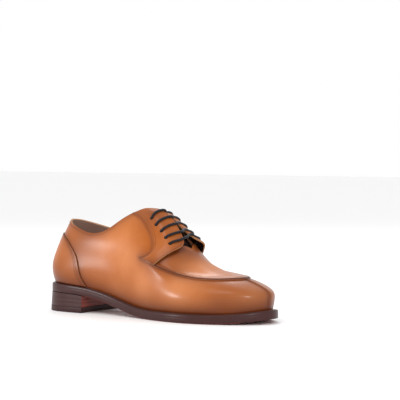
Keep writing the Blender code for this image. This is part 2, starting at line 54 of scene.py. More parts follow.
# %% [markdown]
# ## The camera
# The picture that this shoe follows was taken from its outer side, in front of its middle, from
# just above the floor and with a long lens. The camera is placed first, so that every later step
# can be looked at through it.

# %% Camera
bpy.ops.object.camera_add(
    location=(1.12295, -1.44221, 0.1925),
    rotation=(math.radians(87.93), 0.0, math.radians(36.58)),
)
camera = bpy.context.object
camera.name = "camera"
camera.data.lens = 150.7
camera.data.sensor_width = 36.0
camera.data.clip_start = 0.01
bpy.context.scene.camera = camera
print("camera lens:", camera.data.lens, "mm")

# %% [markdown]
# ## The last
# A last is easiest to hold in six lines that run from the heel to the toe: the feather line where
# the upper meets the welt, the widest line above it, the wall, the shoulder where the apron seam
# runs, the brow and the crest. Each has a distance from the heel, a half width on the outer and on
# the inner side, and a height, all in millimetres. A smooth curve through them at any distance
# from the heel gives a rib, and all the ribs give the skin of the last.

# %% Lines of the last
ORIGIN = np.array([148.35, 0.41, 0.0])
WALL = 2.2
SOLE_LINE = (
    (1.5, 0.0, 0.0), (9.0, 21.5, 21.5), (27.0, 32.0, 32.0), (56.0, 33.8, 33.0),
    (107.0, 34.5, 28.0), (150.0, 42.5, 34.0), (185.0, 50.5, 44.5), (212.0, 52.3, 50.0),
    (241.0, 46.5, 48.5), (268.0, 34.5, 38.0), (287.0, 19.5, 22.5), (296.5, 0.0, 0.0),
)
SOLE_SIDE = (
    (0.0, 22.0), (30.0, 21.3), (62.0, 19.4), (90.0, 14.8), (118.0, 7.4), (142.0, 2.1),
    (165.0, 0.0), (200.0, 0.0), (235.0, 0.0), (258.0, 0.8), (280.0, 3.0), (296.5, 5.5),
)
FEATHER_LINE = (
    (5.5, 0.0, 0.0, 0.0), (12.0, 17.5, 17.5, 0.0), (28.0, 27.5, 27.5, 0.0),
    (56.0, 30.3, 29.5, 0.0), (107.0, 30.5, 23.5, 0.0), (150.0, 37.5, 29.0, 0.0),
    (185.0, 45.0, 38.5, 0.0), (212.0, 46.6, 44.3, 0.0), (241.0, 41.0, 43.0, 0.0),
    (268.0, 29.0, 32.5, 0.0), (283.0, 16.5, 19.0, 0.0), (290.0, 0.0, 0.0, 0.0),
)
BULGE_LINE = (
    (2.5, 0.0, 0.0, 46.0), (9.0, 19.0, 19.0, 45.5), (26.0, 30.3, 30.3, 44.0),
    (56.0, 33.0, 32.0, 42.0), (107.0, 34.0, 26.5, 35.0), (150.0, 41.5, 33.0, 27.0),
    (185.0, 48.2, 42.0, 23.0), (212.0, 49.5, 47.3, 22.0), (241.0, 43.8, 46.0, 22.5),
    (268.0, 31.5, 35.0, 23.5), (284.0, 18.5, 21.0, 24.5), (291.3, 0.0, 0.0, 25.0),
)
WALL_LINE = (
    (7.0, 0.0, 0.0, 66.0), (13.0, 17.5, 17.5, 66.0), (30.0, 28.0, 28.0, 65.0),
    (56.0, 30.8, 30.5, 63.0), (85.0, 31.3, 29.5, 61.0), (107.0, 32.5, 28.0, 58.0),
    (150.0, 40.0, 34.5, 50.0), (185.0, 45.0, 41.5, 42.0), (212.0, 45.0, 44.5, 38.0),
    (241.0, 39.5, 42.5, 36.0), (268.0, 27.0, 31.0, 36.0), (279.5, 15.5, 18.0, 35.8),
    (286.5, 0.0, 0.0, 35.8),
)
SHOULDER_LINE = (
    (15.3, 0.0, 0.0, 86.0), (20.0, 13.0, 13.0, 86.0), (32.0, 22.5, 22.5, 85.5),
    (56.0, 27.5, 27.5, 84.0), (85.0, 28.5, 28.0, 82.0), (107.0, 29.5, 28.0, 80.0),
    (125.0, 31.5, 29.0, 77.0), (140.0, 34.5, 31.0, 71.5), (155.0, 37.8, 33.5, 65.0),
    (170.0, 40.0, 36.0, 58.3), (185.0, 39.6, 37.8, 52.9), (200.0, 38.0, 37.2, 48.7),
    (212.0, 36.8, 37.2, 46.7), (225.0, 34.0, 35.5, 45.4), (236.0, 29.0, 30.9, 44.9),
    (246.0, 22.5, 24.6, 44.9), (254.0, 14.0, 16.0, 45.1), (261.0, 0.0, 0.0, 45.4),
)
BROW_LINE = (
    (26.0, 0.0, 0.0, 110.0), (32.0, 8.5, 8.5, 110.0), (56.0, 15.5, 15.5, 110.5),
    (85.0, 17.0, 17.0, 110.5), (107.0, 17.5, 17.5, 110.0), (125.0, 18.5, 18.0, 108.0),
    (150.0, 20.5, 20.0, 101.0), (166.0, 22.0, 22.0, 87.0), (182.0, 23.0, 22.0, 71.4),
    (200.0, 22.0, 20.8, 56.4), (212.0, 21.5, 20.5, 51.3), (224.0, 19.0, 19.0, 48.7),
    (234.0, 14.5, 15.0, 47.3), (240.0, 9.0, 10.0, 46.9), (244.0, 0.0, 0.0, 46.8),
)
CREST_LINE = (
    (31.0, 0.0, 0.0, 121.0), (56.0, 0.0, 0.0, 122.5), (85.0, 0.0, 0.0, 123.0),
    (107.0, 0.0, 0.0, 122.5), (125.0, 0.0, 0.0, 119.0), (141.0, 0.0, 0.0, 115.0),
    (150.0, 0.0, 0.0, 111.8), (158.0, 0.0, 0.0, 106.3), (166.0, 0.0, 0.0, 98.3),
    (174.0, 0.0, 0.0, 89.0), (182.0, 0.0, 0.0, 80.3), (191.0, 0.0, 0.0, 70.9),
    (205.0, 0.0, 0.0, 60.5), (218.0, 0.0, 0.0, 53.8), (229.0, 0.0, 0.0, 50.0),
)
LAST_LINES = (FEATHER_LINE, BULGE_LINE, WALL_LINE, SHOULDER_LINE, BROW_LINE, CREST_LINE)
LINE_LEVELS = (0.0, 0.12, 0.31, 0.50, 0.76, 1.0)
CENTRE_LINE = ((0.0, 0.0), (90.0, 0.0), (150.0, 1.0), (205.0, 1.5), (260.0, 0.5), (298.0, 0.0))
print("lines of the last:", len(LAST_LINES))

# %% [markdown]
# A place on the last is a turn and a level. The turn runs from 0 at the back of the heel to -1 at
# the toe by the outer side and to +1 by the inner side. The level runs from 0 at the welt to 1 at
# the crest. The natural cubic spline below is the curve that a thin wooden batten would take
# through the same points, which is how such lines are drawn by hand.

# %% The batten
def column(table, index):
    return np.array([row[index] for row in table], dtype=float)


def spline(knots, values, at):
    """Natural cubic spline through the values at the knots."""
    knots = np.asarray(knots, dtype=float)
    values = np.asarray(values, dtype=float)
    at = np.asarray(at, dtype=float)
    count = len(knots)
    step = np.diff(knots)
    system = np.eye(count)
    right = np.zeros_like(values)
    for i in range(1, count - 1):
        system[i, i - 1:i + 2] = step[i - 1], 2 * (step[i - 1] + step[i]), step[i]
        right[i] = 6 * ((values[i + 1] - values[i]) / step[i] - (values[i] - values[i - 1]) / step[i - 1])
    bend = np.linalg.solve(system, right)
    i = np.clip(np.searchsorted(knots, at, side="right") - 1, 0, count - 2)
    spread = (...,) + (None,) * (values.ndim - 1)
    before = ((knots[i + 1] - at) / step[i])[spread]
    after = ((at - knots[i]) / step[i])[spread]
    curve = (before ** 3 - before) * bend[i] + (after ** 3 - after) * bend[i + 1]
    return before * values[i] + after * values[i + 1] + curve * step[i][spread] ** 2 / 6


print("a batten from 0 over 1 to 0, a quarter of the way:", spline([0, 1, 2], [0, 1, 0], [0.5]).round(2))

# %% [markdown]
# These functions read the tables: where a turn lies along a line, where the middle of the shoe is
# and how high its underside is.

# %% Reading the lines
def share_of_turn(turn):
    return (1 - np.cos(np.pi * np.abs(turn))) / 2


def turn_of_share(share):
    return np.arccos(1 - 2 * np.clip(share, 0, 1)) / np.pi


def fold(turn):
    """A turn past the toe comes back on the other side."""
    return (np.asarray(turn, dtype=float) + 1) % 2 - 1


def along(table, index, turn):
    x = column(table, 0)
    return spline(turn_of_share((x - x[0]) / (x[-1] - x[0])), column(table, index), np.abs(turn))


def centre(x):
    return spline(column(CENTRE_LINE, 0), column(CENTRE_LINE, 1), x)


def underside(x):
    return np.maximum(spline(column(SOLE_SIDE, 0), column(SOLE_SIDE, 1), x), 0)


print("underside under the arch:", underside(100.0).round(1), "mm")

# %% [markdown]
# With them, any turn and level gives a point of the skin, and the direction square to the skin there
# lets a piece of leather lie on it at its own height.

# %% Points of the skin
def last_point(turn, level):
    """Point of the last's skin, in millimetres from the back of the heel."""
    turn, level = np.broadcast_arrays(fold(turn), np.asarray(level, dtype=float))
    turn = np.where(level > 1, -turn, turn)
    level = np.where(level > 1, 2 - level, level)
    rib = []
    for side in (-np.abs(turn), np.abs(turn)):
        line_points = []
        for table in LAST_LINES:
            x = table[0][0] + (table[-1][0] - table[0][0]) * share_of_turn(side)
            height = underside(x) + 9.8 if table is FEATHER_LINE else along(table, 3, side)
            y = centre(x) + np.where(side > 0, along(table, 2, side), -along(table, 1, side))
            line_points.append(np.stack([x, y, height], -1))
        rib.append(line_points)
    controls = rib[0] + rib[1][-2::-1]
    levels = list(LINE_LEVELS) + [2 - value for value in LINE_LEVELS[-2::-1]]
    weights = spline(levels, np.eye(len(levels)), np.where(turn < 0, level, 2 - level))
    return sum(weights[..., i, None] * controls[i] for i in range(len(controls)))


def skin(turn, level, lift=0.0):
    """The same point, lifted off the last along its normal."""
    turn, level, lift = np.broadcast_arrays(turn, level, np.asarray(lift, dtype=float))
    around = last_point(turn + 8e-3, level) - last_point(turn - 8e-3, level)
    upwards = last_point(turn, level + 8e-3) - last_point(turn, level - 8e-3)
    normal = np.cross(upwards, around)
    size = np.linalg.norm(normal, axis=-1, keepdims=True)
    normal = np.where(size > 1e-7, normal / np.maximum(size, 1e-7), np.array([0.0, 0.0, 1.0]))
    return last_point(turn, level) + normal * lift[..., None]


def turn_at(x, level):
    """Size of the turn at which a level reaches a distance from the heel."""
    levels = list(LINE_LEVELS) + [2 - value for value in LINE_LEVELS[-2::-1]]
    order = list(range(len(LAST_LINES))) + list(range(len(LAST_LINES) - 2, -1, -1))
    start = spline(levels, [LAST_LINES[i][0][0] for i in order], level)
    end = spline(levels, [LAST_LINES[i][-1][0] for i in order], level)
    return turn_of_share((x - start) / (end - start))


def smooth(share):
    share = np.clip(share, 0, 1)
    return share * share * (3 - 2 * share)


print("crest over the throat:", skin(turn_at(184.0, 1.0), 1.0).round(1))

# %% [markdown]
# ## From a sheet to a piece of leather
# Every piece starts as Blender's grid primitive, which is a flat sheet with a regular weave of
# quads. Its points are then laid on the last, as leather is pulled over it. A Solidify modifier
# gives the sheet its thickness and puts the lining and the cut edge in their own material slots,
# and a Bevel modifier takes the knife's sharpness off the cut edge.

# %% Editing helpers
def to_metres(points):
    return (np.asarray(points, dtype=float) - ORIGIN) * 0.001


def only(piece):
    """Select one object and make it active."""
    bpy.ops.object.select_all(action="DESELECT")
    piece.select_set(True)
    bpy.context.view_layer.objects.active = piece


def edit(piece, *steps):
    """Run edit-mode operators on everything in a piece."""
    only(piece)
    bpy.ops.object.mode_set(mode="EDIT")
    bpy.ops.mesh.select_all(action="SELECT")
    for step in steps:
        step()
    bpy.ops.object.mode_set(mode="OBJECT")


def apply_modifiers(piece):
    only(piece)
    for modifier in list(piece.modifiers):
        bpy.ops.object.modifier_apply(modifier=modifier.name)


def merge():
    bpy.ops.mesh.remove_doubles(threshold=0.00001)


def face_out():
    bpy.ops.mesh.normals_make_consistent(inside=False)


def close_ends():
    """Fill the open ends and turn every face out."""
    bpy.ops.mesh.select_all(action="DESELECT")
    bpy.ops.mesh.select_non_manifold()
    bpy.ops.mesh.fill_holes(sides=0)
    bpy.ops.mesh.select_all(action="SELECT")
    face_out()


print("editing helpers ready")

# %% Sheets
def laid_grid(name, points):
    """A grid primitive whose points are laid on columns and rows of places, in millimetres."""
    columns, rows = points.shape[:2]
    bpy.ops.object.select_all(action="DESELECT")
    bpy.ops.mesh.primitive_grid_add(x_subdivisions=rows - 1, y_subdivisions=columns - 1, size=1)
    piece = bpy.context.object
    piece.name = name
    piece.data.name = name
    piece.location = (0, 0, 0)
    piece.data.vertices.foreach_set("co", to_metres(points).ravel())
    piece.data.update()
    edit(piece, merge)
    return piece


def leather(name, place, thickness, bevel=0.4, finishes=(0, 1, 2)):
    """A sheet laid at place(0), whose outside is on the side of place(1), with a wall inwards."""
    piece = laid_grid(name, place(0.0))
    outwards = (place(1.0) - place(0.0)).reshape(-1, 3)
    where = KDTree(len(outwards))
    for i, point in enumerate(to_metres(place(0.0)).reshape(-1, 3)):
        where.insert(point, i)
    where.balance()
    agree = 0.0
    for face in piece.data.polygons:
        agree += face.normal.dot(Vector(outwards[where.find(face.center)[1]])) * face.area
    if agree < 0:
        edit(piece, bpy.ops.mesh.flip_normals)
    wall = piece.modifiers.new("Wall", "SOLIDIFY")
    wall.thickness = thickness * 0.001
    wall.offset = -1.0
    wall.material_offset = finishes[1]
    wall.material_offset_rim = finishes[2]
    if bevel:
        edge = piece.modifiers.new("Soft edge", "BEVEL")
        edge.width = bevel * 0.001
        edge.segments = 2
        edge.limit_method = "ANGLE"
        edge.angle_limit = math.radians(55)
    return piece


print("sheet helpers ready")

# %% Finishing helpers
def relax(piece, centre_point, reach, times):
    """Smooth a sheet around one place, where the two halves of the weave meet."""
    only(piece)
    place = Vector(to_metres(centre_point))
    bpy.ops.object.mode_set(mode="EDIT")
    bpy.ops.mesh.select_all(action="DESELECT")
    bpy.ops.object.mode_set(mode="OBJECT")
    for vertex in piece.data.vertices:
        vertex.select = (vertex.co - place).length < reach * 0.001
    bpy.ops.object.mode_set(mode="EDIT")
    bpy.ops.mesh.vertices_smooth(factor=0.5, repeat=times)
    bpy.ops.object.mode_set(mode="OBJECT")


def finish_piece(piece, *nodes, slot=None, angle=40):
    """Apply the modifiers, shade the piece smooth and hide the nodes that it stands for."""
    apply_modifiers(piece)
    only(piece)
    bpy.ops.object.shade_smooth_by_angle(angle=math.radians(angle))
    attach(piece, "root")
    if nodes:
        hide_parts(*nodes)
    print(f"{piece.name}: {len(piece.data.polygons)} faces")


def dress(piece, *finishes):
    """Fill the material slots of a piece, in order."""
    for finish in finishes:
        piece.data.materials.append(finish)


print("finishing helpers ready")

# %% [markdown]
# ## Shader maths as plain expressions
# A material is a chain of nodes. The small class below wraps a socket, so that an expression such
# as 1 - mask adds its own Math node, and one method adds any other node.

# %% Sockets
class Socket:
    """An output of a node that can be used in a Python expression."""

    def __init__(self, finish, output):
        self.finish = finish
        self.output = output

    def maths(self, operation, first, second):
        return self.finish.add("ShaderNodeMath", {"operation": operation}, {0: first, 1: second})

    def __add__(self, other):
        return self.maths("ADD", self, other)

    def __radd__(self, other):
        return self.maths("ADD", other, self)

    def __sub__(self, other):
        return self.maths("SUBTRACT", self, other)

    def __rsub__(self, other):
        return self.maths("SUBTRACT", other, self)

    def __mul__(self, other):
        return self.maths("MULTIPLY", self, other)

    def __rmul__(self, other):
        return self.maths("MULTIPLY", other, self)

    def clamp(self):
        return self.maths("MINIMUM", self.maths("MAXIMUM", self, 0.0), 1.0)


print("sockets ready")

# %% Finishes
# How strongly a surface mirrors the white room. Waxed leather mirrors it only a little.
SPECULAR_LEVEL = 0.15


class Finish:
    """A material with a Principled shader, built from expressions."""

    def __init__(self, name, roughness=0.5, coat=0.0, coat_roughness=0.1, sheen=0.0):
        self.material = bpy.data.materials.new(name)
        self.material.use_nodes = True
        self.tree = self.material.node_tree
        self.shader = self.tree.nodes["Principled BSDF"]
        self.shader.inputs["Roughness"].default_value = roughness
        self.shader.inputs["Coat Weight"].default_value = coat
        self.shader.inputs["Coat Roughness"].default_value = coat_roughness
        self.shader.inputs["Sheen Weight"].default_value = sheen
        self.shader.inputs["Specular IOR Level"].default_value = SPECULAR_LEVEL

    def plug(self, socket, value):
        if isinstance(value, Socket):
            self.tree.links.new(value.output, socket)
        elif isinstance(value, tuple) and len(value) == 3 and socket.type == "RGBA":
            socket.default_value = (*value, 1.0)
        else:
            socket.default_value = value

    def add(self, kind, settings=None, inputs=None, output=0):
        node = self.tree.nodes.new(kind)
        for key, value in (settings or {}).items():
            setattr(node, key, value)
        for key, value in (inputs or {}).items():
            self.plug(node.inputs[key], value)
        return Socket(self, node.outputs[output])

    def place(self):
        return self.add("ShaderNodeTexCoord", output="Object")

    def attribute(self, name):
        return self.add("ShaderNodeAttribute", {"attribute_name": name}, output="Fac")

    def noise(self, scale, detail, rough):
        inputs = {"Vector": self.place(), "Scale": scale, "Detail": detail, "Roughness": rough}
        return self.add("ShaderNodeTexNoise", {}, inputs, output="Fac")

    def cells(self, scale):
        inputs = {"Vector": self.place(), "Scale": scale}
        return self.add("ShaderNodeTexVoronoi", {}, inputs, output="Distance")

    def blend(self, share, first, second):
        return self.add(
            "ShaderNodeMix",
            {"data_type": "RGBA", "clamp_factor": True},
            {"Factor": share, 6: first, 7: second},
            output=2,
        )

    def set(self, name, value):
        self.plug(self.shader.inputs[name], value)

    def bump(self, height, strength, distance):
        normal = self.add(
            "ShaderNodeBump", {}, {"Height": height, "Strength": strength, "Distance": distance}, "Normal"
        )
        self.set("Normal", normal)


print("finishes ready")

# %% [markdown]
# ## Calf leather
# The upper is smooth calf that was dyed and polished by hand. Its colour is a warm orange tan,
# paler in given patches and darker near seams, welt, heel and toe, where dark cream was left. Two of
# the pale patches, low on the ball and on the toe, are painted highlights, and some of the darkening
# is painted shade: under the flaps' free edges and on the top of the vamp. Two point attributes
# carry this: one says where the leather is pale, painted highlights included, and the other, which
# each piece gets from its distance to the seams, says where it is dark, painted shade included.
# Under a thin coat of wax the grain is very fine.

# %% Tan calf
CLOUD_SCALE = 16.0
STREAK_SCALE = 55.0
GRAIN_SCALE = 700.0
PORE_SCALE = 1500.0
CALF_ROUGHNESS = 0.40
CALF_COAT = 0.24


def tan_calf(name, pale, tan, dark):
    calf = Finish(name, CALF_ROUGHNESS, CALF_COAT, 0.2)
    cloud = calf.noise(CLOUD_SCALE, 3.0, 0.55)
    streak = calf.noise(STREAK_SCALE, 4.0, 0.6)
    # The dark share is dark cream together with painted shade; the pale share is pale tone together with
    # painted highlights.
    burnish_and_shade = calf.attribute("burnish_and_shade")
    tone = (cloud - 0.5) * 1.8 + (streak - 0.5) * 0.4
    pale_and_highlight = calf.attribute("pale_and_highlight")
    light = calf.blend((pale_and_highlight + tone * 0.7).clamp(), tan, pale)
    shade = (burnish_and_shade + tone * 0.35 * burnish_and_shade).clamp()
    calf.set("Base Color", calf.blend(shade, light, dark))
    calf.set("Roughness", CALF_ROUGHNESS + (streak - 0.5) * 0.14 - burnish_and_shade * 0.05)
    pores = calf.cells(PORE_SCALE)
    grain = calf.noise(GRAIN_SCALE, 3.0, 0.55)
    calf.bump(pores * 0.5 + grain * 0.8, 0.09, 0.0004)
    return calf.material


TAN = tan_calf("tan_calf", (0.55, 0.190, 0.060), (0.335, 0.076, 0.001), (0.070, 0.009, 0.002))
print("made", TAN.name)

# %% Lining, edges and the other finishes
def plain(name, color, second, roughness, scale, bump=0.1, coat=0.0):
    finish = Finish(name, roughness, coat, 0.2)
    cloud = finish.noise(scale, 4.0, 0.6)
    finish.set("Base Color", finish.blend(cloud, color, second))
    finish.set("Roughness", roughness + (cloud - 0.5) * 0.2)
    finish.bump(finish.noise(900.0, 3.0, 0.6), bump, 0.0003)
    return finish.material


LINING = plain("lining_calf", (0.28, 0.165, 0.125), (0.36, 0.22, 0.17), 0.55, 60.0)
# Near black, for the backs of the flaps and the outside of the tongue: painted shade in the throat.
PAINTED_SHADE_BLACK = plain("painted_shade_black", (0.016, 0.008, 0.007), (0.030, 0.014, 0.011), 0.6, 60.0)
RAW_EDGE = plain("cut_edge", (0.42, 0.22, 0.10), (0.30, 0.13, 0.055), 0.6, 200.0)
DARK_EDGE = plain("collar_edge", (0.10, 0.04, 0.02), (0.16, 0.065, 0.03), 0.5, 150.0)
WELT = plain("welt_leather", (0.036, 0.012, 0.012), (0.056, 0.020, 0.018), 0.36, 90.0, 0.12, 0.08)
SOLE = plain("sole_leather", (0.20, 0.035, 0.028), (0.27, 0.06, 0.04), 0.4, 40.0, 0.12, 0.15)
RUBBER = plain("heel_rubber", (0.032, 0.011, 0.011), (0.046, 0.017, 0.016), 0.45, 120.0, 0.15)
DARK_THREAD = plain("dark_thread", (0.16, 0.06, 0.028), (0.10, 0.035, 0.018), 0.55, 800.0, 0.2)
WELT_THREAD = plain("welt_thread", (0.10, 0.05, 0.04), (0.15, 0.08, 0.06), 0.6, 800.0, 0.2)
print("finishes:", len(bpy.data.materials))

# %% [markdown]
# ## The upper
# Vamp walls and quarters are one shell here, because they meet edge to edge under the overlays. It
# is open at the collar, at the throat under the laces, and underneath where it turns under the
# foot. The collar's edge follows the topline: high at the heel, lowest under the ankle bone, and
# rising to the facings.

# %% Topline and throat
TOPLINE = (
    # distance from the heel, height on the outer side, height on the inner side
    (18.0, 103.3, 103.3), (23.0, 102.5, 102.5), (32.0, 99.6, 99.6), (46.0, 95.3, 95.3),
    (60.0, 91.2, 92.0), (74.0, 89.0, 90.8), (84.0, 90.2, 92.0), (93.0, 93.8, 95.2),
    (105.0, 102.0, 102.8), (118.5, 111.0, 111.4), (130.0, 116.0, 116.2), (145.0, 120.0, 120.0),
)
THROAT_END = 192.0
THROAT_HALF = 14.0
THROAT_TURN = float(turn_at(THROAT_END, 1.0))


def rim_level(turn):
    """Level of the upper's edge at the collar and the throat."""
    low = np.full(np.shape(turn), 0.3)
    high = np.ones(np.shape(turn))
    for _ in range(26):
        middle = (low + high) / 2
        point = last_point(turn, middle)
        x = point[..., 0]
        knots = column(TOPLINE, 0)
        edge = np.where(turn < 0, spline(knots, column(TOPLINE, 1), x), spline(knots, column(TOPLINE, 2), x))
        run = np.clip((THROAT_END - x) / THROAT_HALF, 0, 1)
        slot = np.where(x > 100.0, THROAT_HALF * np.sqrt(run * (2 - run)), 0.0)
        cut = (point[..., 2] > edge) | (np.abs(point[..., 1] - centre(x)) < slot)
        high = np.where(cut, middle, high)
        low = np.where(cut, low, middle)
    return np.where(np.abs(turn) >= THROAT_TURN - 1e-9, 1.0, (low + high) / 2)


print("edge of the upper at the heel, as a level:", rim_level(np.zeros(1)).round(3))

# %% [markdown]
# The weave is closer at the toe, where the two walls meet in a raised seam.

# %% Upper
front = -1 + np.concatenate([np.linspace(0, 0.035, 29), np.linspace(0.035, 1 - THROAT_TURN, 36)[1:]])
rear = np.linspace(-THROAT_TURN, THROAT_TURN, 181)
turns = np.concatenate([front, rear[1:-1], -front[::-1]])
shares = np.linspace(0, 1, 49)
levels = rim_level(turns)[:, None] * shares


def upper_place(height):
    """The walls meet at the toe in a raised seam with a groove on both sides."""
    point = last_point(turns[:, None], levels)
    away = np.abs(point[..., 1] - centre(point[..., 0]))
    at_toe = smooth((point[..., 0] - 250) / 12) * (1 - smooth((levels - 0.5) / 0.04))
    seam = 0.95 * np.exp(-((away / 1.15) ** 2)) - 0.45 * np.exp(-(((away - 2.6) / 0.8) ** 2))
    return skin(turns[:, None], levels, height + seam * at_toe)


upper = leather("upper_shell", upper_place, WALL, 0.5)
relax(upper, skin(1.0, 1.0), 9.0, 40)
dress(upper, TAN, LINING, DARK_EDGE, RAW_EDGE)
finish_piece(upper, "upper", slot="tan_leather")
# Round the heel the collar's cut edge was left pale. In front it was dyed dark.
DARK_SLOT, RAW_SLOT = 2, 3
collar_front = to_metres([104.0, 0.0, 0.0])[0]
collar_foot = 0.05
for face in upper.data.polygons:
    spot = face.center
    if face.material_index == DARK_SLOT and spot.x < collar_front and spot.z > collar_foot:
        face.material_index = RAW_SLOT

# %% [markdown]
# ## The apron
# The apron is the panel over the toes. Its edge is turned up and sewn to the walls by hand, which
# leaves a rounded ridge along the seam with a soft groove inside it.

# %% Apron
OVERLAY_LIFT = 1.35
APRON_REAR = 166.0
APRON_FORWARD = 22.0
apron_levels = 0.5 + 0.5 * np.linspace(0, 1, 41) ** 1.5
edge_run = (apron_levels - 0.5) / 0.5
apron_start = turn_at(APRON_REAR + APRON_FORWARD * edge_run ** 1.2, apron_levels)
apron_across = np.linspace(0, 1, 161)
apron_turns = -(apron_start + (2 - 2 * apron_start) * apron_across[:, None])


def apron_place(height):
    inside = (apron_levels - 0.5) * 62.0
    ridge = 0.55 * np.exp(-((inside - 1.1) / 0.9) ** 2) - 0.35 * np.exp(-((inside - 3.2) / 1.0) ** 2)
    return skin(apron_turns, apron_levels, OVERLAY_LIFT + ridge + height)


apron = leather("apron_panel", apron_place, 1.1, 0.4)
relax(apron, skin(1.0, 1.0, OVERLAY_LIFT), 11.0, 60)
dress(apron, TAN, LINING, DARK_EDGE)
finish_piece(apron, "apron", slot="tan_leather")

# %% [markdown]
# ## The counter
# A panel round the heel covers the end of the back seam. It is cut with a long curve that falls
# from its peak at the back to the welt.

# %% Counter
COUNTER_SEAM = (
    # level, distance from the heel
    (0.03, 66.5), (0.12, 61.0), (0.31, 52.5), (0.41, 42.0), (0.47, 32.0), (0.505, 22.0),
)
COUNTER_FOOT = 0.012
COUNTER_PEAK = 0.505
counter_levels = COUNTER_FOOT + (COUNTER_PEAK - COUNTER_FOOT) * np.sin(np.linspace(0, np.pi / 2, 45))
counter_reach = turn_at(
    spline(column(COUNTER_SEAM, 0), column(COUNTER_SEAM, 1), counter_levels), counter_levels
)


def counter_place(height):
    return skin(np.linspace(-1, 1, 121)[:, None] * counter_reach, counter_levels, OVERLAY_LIFT + height)


counter = leather("counter_panel", counter_place, 1.2, 0.4)
dress(counter, TAN, LINING, DARK_EDGE)
finish_piece(counter, "counter", slot="tan_leather")

# %% [markdown]
# ## The facings
# A derby's facings are flaps that lie on the vamp. Each is sewn down along its rear seam and is
# free in front, where the laces pull it to the other one. Five plain holes are punched in it
# with a Boolean modifier, whose cutters are cylinders set square to the leather.

# %% Shape of a facing
FACING_EDGES = (
    # way down, x and level of the rear seam, x and level of the free front edge
    (0.00, 121.0, 0.800, 150.0, 0.950), (0.14, 136.0, 0.755, 158.0, 0.950),
    (0.28, 147.5, 0.710, 167.0, 0.945), (0.42, 155.0, 0.680, 175.5, 0.930),
    (0.56, 159.0, 0.640, 183.0, 0.890), (0.70, 159.5, 0.590, 184.0, 0.805),
    (0.86, 155.0, 0.530, 179.0, 0.670), (1.00, 146.5, 0.465, 170.5, 0.495),
)
EYELETS = (
    # way down, way across, and the way down at which the lace meets the front edge
    (0.21, 0.32, 0.06), (0.31, 0.335, 0.19), (0.42, 0.405, 0.29), (0.53, 0.49, 0.405), (0.64, 0.66, 0.50),
)
FACING_THICKNESS = 1.8


def facing_point(side, down, across, height):
    """Point on a facing's outer face. The side is -1 for the outer and +1 for the inner one.

    The laces pull the inner flap's upper edge down under the outer one, and lift its front corner.
    """
    down, across = np.broadcast_arrays(np.asarray(down, dtype=float), np.asarray(across, dtype=float))
    rear_x, rear_level, front_x, front_level = (
        spline(column(FACING_EDGES, 0), column(FACING_EDGES, i), down) for i in range(1, 5)
    )
    x = rear_x + (front_x - rear_x) * across
    level = rear_level + (front_level - rear_level) * across
    settle = 1 - smooth((down - 0.6) / 0.4)
    low = (1 - smooth(down / 0.75)) * (side > 0)
    level = level + 0.02 * low * across
    front_lift = 3.6 * (side > 0) * across ** 2 * np.exp(-(((down - 0.62) / 0.17) ** 2))
    rise = (3.4 - 6.4 * low) * across ** 1.5 * settle + front_lift
    swell = 3.5 - 1.6 * (1 - smooth(down / 0.2))
    lift = -0.95 + swell * smooth((across - 0.03) / 0.5) + rise
    return skin(side * turn_at(x, level), level, lift + FACING_THICKNESS + height)


def facing_normal(side, down, across):
    out = facing_point(side, down, across, 1.0) - facing_point(side, down, across, 0.0)
    return out / np.linalg.norm(out, axis=-1, keepdims=True)


print("front corner of the outer facing:", facing_point(-1, 0.7, 1.0, 0.0).round(1))

# %% Holes
HOLE_RADIUS = 0.0021
PIN_LENGTH = 0.012


def punch(piece, side):
    """Punch the five holes."""
    for down, across, _ in EYELETS:
        middle = facing_point(side, down, across, 0.0)
        axis = Vector(facing_normal(side, down, across))
        bpy.ops.object.select_all(action="DESELECT")
        bpy.ops.mesh.primitive_cylinder_add(
            vertices=28, radius=HOLE_RADIUS, depth=PIN_LENGTH, location=to_metres(middle),
            rotation=axis.to_track_quat("Z", "Y").to_euler(),
        )
        pin = bpy.context.object
        hole = piece.modifiers.new("Hole", "BOOLEAN")
        hole.operation = "DIFFERENCE"
        hole.solver = "EXACT"
        hole.object = pin
        only(piece)
        bpy.ops.object.modifier_apply(modifier=hole.name)
        bpy.data.objects.remove(pin, do_unlink=True)


print("holes in each facing:", len(EYELETS))

# %% Flaps
facings = {}
for side, word in ((-1, "lateral"), (1, "medial")):
    down = np.linspace(0, 1, 91)[:, None]
    across = np.linspace(0, 1, 49)

    def facing_place(height, side=side):
        return facing_point(side, down, across, height)

    flap = leather(f"flap_{word}", facing_place, FACING_THICKNESS, 0.45)
    # The backs of the flaps get the near-black painted shade.
    dress(flap, TAN, PAINTED_SHADE_BLACK, RAW_EDGE)
    apply_modifiers(flap)
    punch(flap, side)
    finish_piece(flap, f"facing_{word}", slot="tan_leather")
    facings[side] = flap

# %% [markdown]
# ## The tongue
# The tongue lies under the throat and keeps the laces off the foot. Its outside is near black, a
# painted shade like the backs of the flaps, so that the gap between the flaps reads as black.

# %% Tongue
TONGUE_DEPTH = 3.7
tongue_x = np.linspace(141, 199, 51)[:, None]
tongue_levels = np.linspace(0.66, 1.34, 49)
tongue_turns = -turn_at(tongue_x, np.minimum(tongue_levels, 2 - tongue_levels))


def tongue_place(height):
    return skin(tongue_turns, tongue_levels, height - TONGUE_DEPTH)


tongue = leather("tongue_leather", tongue_place, 2.0, 0.5)
dress(tongue, PAINTED_SHADE_BLACK, LINING, DARK_EDGE)
finish_piece(tongue, "tongue", slot="tan_leather")

# %% [markdown]
# ## Sole, welt and heel
# The sole's outline is one closed line. The outsole and the welt are profiles that run round it,
# and the heel repeats its back part, closed in front by the hollow breast. All of them are laid
# grids too: one direction follows the outline and the other follows the profile.

# %% Outsole and welt
SOLE_START = 1.5
SOLE_LENGTH = 295.0


